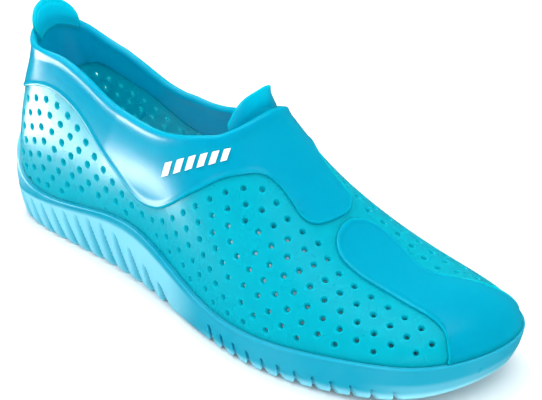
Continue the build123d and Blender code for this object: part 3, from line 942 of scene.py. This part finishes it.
def pull_tab():
    """A rounded tab with a beaded rim, leaning back from the cuff's edge."""
    turns = np.linspace(-TAB_REACH, TAB_REACH, 49)
    side = np.where(turns > 0, topline["lateral"](np.abs(turns)), topline["medial"](np.abs(turns)))
    tall = TAB_HEIGHT * np.sqrt(1 - 0.985 * (turns / TAB_REACH) ** 2)
    level = np.zeros_like(turns)

    def line(lift, out):
        return wall(turns, side, level + out) + (level + lift)[:, None] * np.array([0.0, 0.0, 1.0])

    shares = np.linspace(0.1, 0.8, 8)
    face = [(tall * share + TAB_SEAT, TAB_FLARE * tall * share**1.3 - 0.2) for share in shares]
    rows = [line(lift, out) for lift, out in [(-TAB_ROOT, -0.3), (-1.2, -0.25), (0.0, -0.2)] + face]
    for angle in np.radians(np.linspace(90, -90, 9)):
        lift = tall + TAB_SEAT - TAB_BEAD + TAB_BEAD * math.cos(angle)
        rows.append(line(lift, TAB_FLARE * tall - 0.2 - TAB_WALL / 2 + TAB_BEAD * math.sin(angle)))
    rows += [line(lift, out - TAB_WALL) for lift, out in face[::-1]]
    rows += [line(lift, out) for lift, out in ((0.2, -2.5), (-0.4, -3.0), (-TAB_ROOT, -2.2))]
    grid = np.stack(rows, axis=1)
    made = piece("pull_tab_skin", grid, boxed(grid), UPPER, ("heel_pull_tab",))
    hinge = np.array(TAB_HINGE)
    start, end = (tuple(to_frame(hinge + [0, 0, height])) for height in TAB_BEND)
    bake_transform(made)
    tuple(start)
    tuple(end)


TONGUE_ROOT_TURN = 96.2
TONGUE_RIM_TURN = 93.5
TONGUE_SINK = 4.0
TONGUE_WALL = 2.0
TONGUE_BEAD = 1.15
TONGUE_RIM = 1.2
TONGUE_MEDIAL_SHARE = 0.85
# The flap's upper edge on the lateral side: (rise, x, y, z).
TONGUE_TIP = [
    (0.66, 147.5, -16.4, 87.0), (0.78, 149.0, -10.5, 95.0), (0.92, 153.5, -4.5, 100.3),
    (1.0, 154.2, 0.0, 101.3),
]
# The point that the tongue's inner face looks at, and the start and end of a bend in the flap, which the
# script works out but does not use.
TONGUE_HEART = (132.0, 0.0, 72.0)
TONGUE_BEND = ((155.0, 0.0, 88.0), (153.0, 0.0, 94.0))


def tongue_flap():
    """A curved flap that rises from under the saddle, with a beaded rim."""
    medial = [(2 - rise, x, -y * TONGUE_MEDIAL_SHARE, z) for rise, x, y, z in TONGUE_TIP[-2::-1]]
    tips = TONGUE_TIP + medial
    rises = np.linspace(tips[0][0], tips[-1][0], 61)
    tip = np.stack([smooth([(row[0], row[axis]) for row in tips])(rises) for axis in (1, 2, 3)], axis=1)
    root = wall(TONGUE_ROOT_TURN, rises, -TONGUE_SINK)
    rim = wall(TONGUE_RIM_TURN, rises, -TONGUE_SINK)
    climb = tip - rim
    length = np.linalg.norm(climb, axis=1, keepdims=True)
    heart = np.array(TONGUE_HEART)

    def inward(points, depth):
        direction = heart - points
        return points + depth * direction / np.linalg.norm(direction, axis=1, keepdims=True)

    outside = [root + (rim - root) * share for share in (0.0, 0.5)]
    outside += [rim + climb * share * (1 - TONGUE_RIM / length) for share in np.linspace(0, 1, 12)[:-1]]
    middle = inward(tip - climb / length * TONGUE_BEAD, TONGUE_WALL / 2)
    out = tip - climb / length * TONGUE_BEAD - middle
    out /= np.linalg.norm(out, axis=1, keepdims=True)
    bead = [
        middle + TONGUE_BEAD * (math.cos(angle) * climb / length + math.sin(angle) * out)
        for angle in np.radians(np.linspace(80, -80, 9))
    ]
    inside = [inward(points, TONGUE_WALL) for points in outside[::-1]]
    grid = np.stack(outside + bead + inside, axis=1)
    made = piece("tongue_skin", grid, boxed(grid), UPPER, ("tongue",))
    start, end = (tuple(to_frame(point)) for point in TONGUE_BEND)
    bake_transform(made)
    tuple(start)
    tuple(end)


# --------------------------------------------------------------- stage, light, camera

EYE = (342.97, -360.67, 302.24)
AIM = (-21.82, 50.20, 15.0)
LENS = 83.56


def camera():
    """The picture's viewpoint."""
    data = bpy.data.cameras.new("camera")
    data.sensor_width = 36.0
    data.lens = LENS
    made = bpy.data.objects.new("camera", data)
    made.location = Vector(EYE) * MM
    made.rotation_mode = "QUATERNION"
    made.rotation_quaternion = (Vector(AIM) - Vector(EYE)).to_track_quat("-Z", "Y")
    bpy.context.scene.collection.objects.link(made)
    bpy.context.scene.camera = made


def softbox(name, place, aim, size, power, mirrored=True, lighting=True):
    """A soft rectangular light. It can be left out of reflections, or show only in them."""
    data = bpy.data.lights.new(name, "AREA")
    data.shape = "RECTANGLE"
    data.size, data.size_y = size
    data.energy = power
    made = bpy.data.objects.new(name, data)
    made.location = place
    made.rotation_mode = "QUATERNION"
    made.rotation_quaternion = (Vector(aim) - Vector(place)).to_track_quat("-Z", "Y")
    made.visible_camera = False
    made.visible_glossy = mirrored
    made.visible_diffuse = lighting
    made.visible_transmission = lighting
    bpy.context.scene.collection.objects.link(made)


def stage():
    """A pale floor, an even bright surround that reflects dimly, and the softboxes."""
    mesh = bpy.data.meshes.new("floor")
    reach = 4.0
    corners = [(-reach, -reach, 0), (reach, -reach, 0), (reach, reach, 0), (-reach, reach, 0)]
    mesh.from_pydata(corners, [], [(0, 1, 2, 3)])
    floor = bpy.data.objects.new("floor", mesh)
    bpy.context.scene.collection.objects.link(floor)
    material = bpy.data.materials.new("floor_paper")
    material.use_nodes = True
    shader = material.node_tree.nodes["Principled BSDF"]
    shader.inputs["Base Color"].default_value = (0.95, 0.95, 0.95, 1)
    shader.inputs["Roughness"].default_value = 0.9
    shader.inputs["Specular IOR Level"].default_value = 0.1
    mesh.materials.append(material)
    floor.visible_glossy = False
    world = bpy.data.worlds.new("studio")
    world.use_nodes = True
    sky = world.node_tree.nodes["Background"]
    sky.inputs["Color"].default_value = (0.93, 0.97, 1.0, 1)
    ray = node(world.node_tree, "ShaderNodeLightPath")
    dim = node(world.node_tree, "ShaderNodeMapRange")
    dim.inputs["To Min"].default_value = 1.0
    dim.inputs["To Max"].default_value = 0.08
    world.node_tree.links.new(ray.outputs["Is Glossy Ray"], dim.inputs["Value"])
    world.node_tree.links.new(dim.outputs["Result"], sky.inputs["Strength"])
    bpy.context.scene.world = world
    bpy.context.scene.view_settings.view_transform = "Standard"
    softbox("key", (-0.55, -0.55, 0.75), (-0.05, 0.0, 0.05), (0.6, 0.6), 2.5, mirrored=False)
    softbox("overhead", (0.0, 0.0, 0.9), (0.0, 0.0, 0.0), (0.9, 0.6), 4.5, mirrored=False)
    softbox("front_fill", (0.5, -0.45, 0.2), (0.1, 0.0, 0.02), (0.4, 0.3), 0.7, mirrored=False)
    softbox("strip", (-0.45, 0.25, 0.65), (-0.1, 0.0, 0.1), (0.06, 0.5), 1.0)
    softbox("low_card", (-0.33, -0.16, 0.004), (-0.31, -0.15, 0.5), (0.15, 0.22), 3.4, lighting=False)


cuff()
toe_cover()
perforated_sides()
sole_unit()
insole()
pull_tab()
tongue_flap()
finishes = {
    "heel_tread_lugs": SOLE, "forefoot_tread_lugs": SOLE,
    "side_emblem_lateral": INK, "side_emblem_medial": INK,
}
for name, finish in finishes.items():
    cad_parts[name].data.materials.clear()
    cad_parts[name].data.materials.append(finish)
camera()
stage()
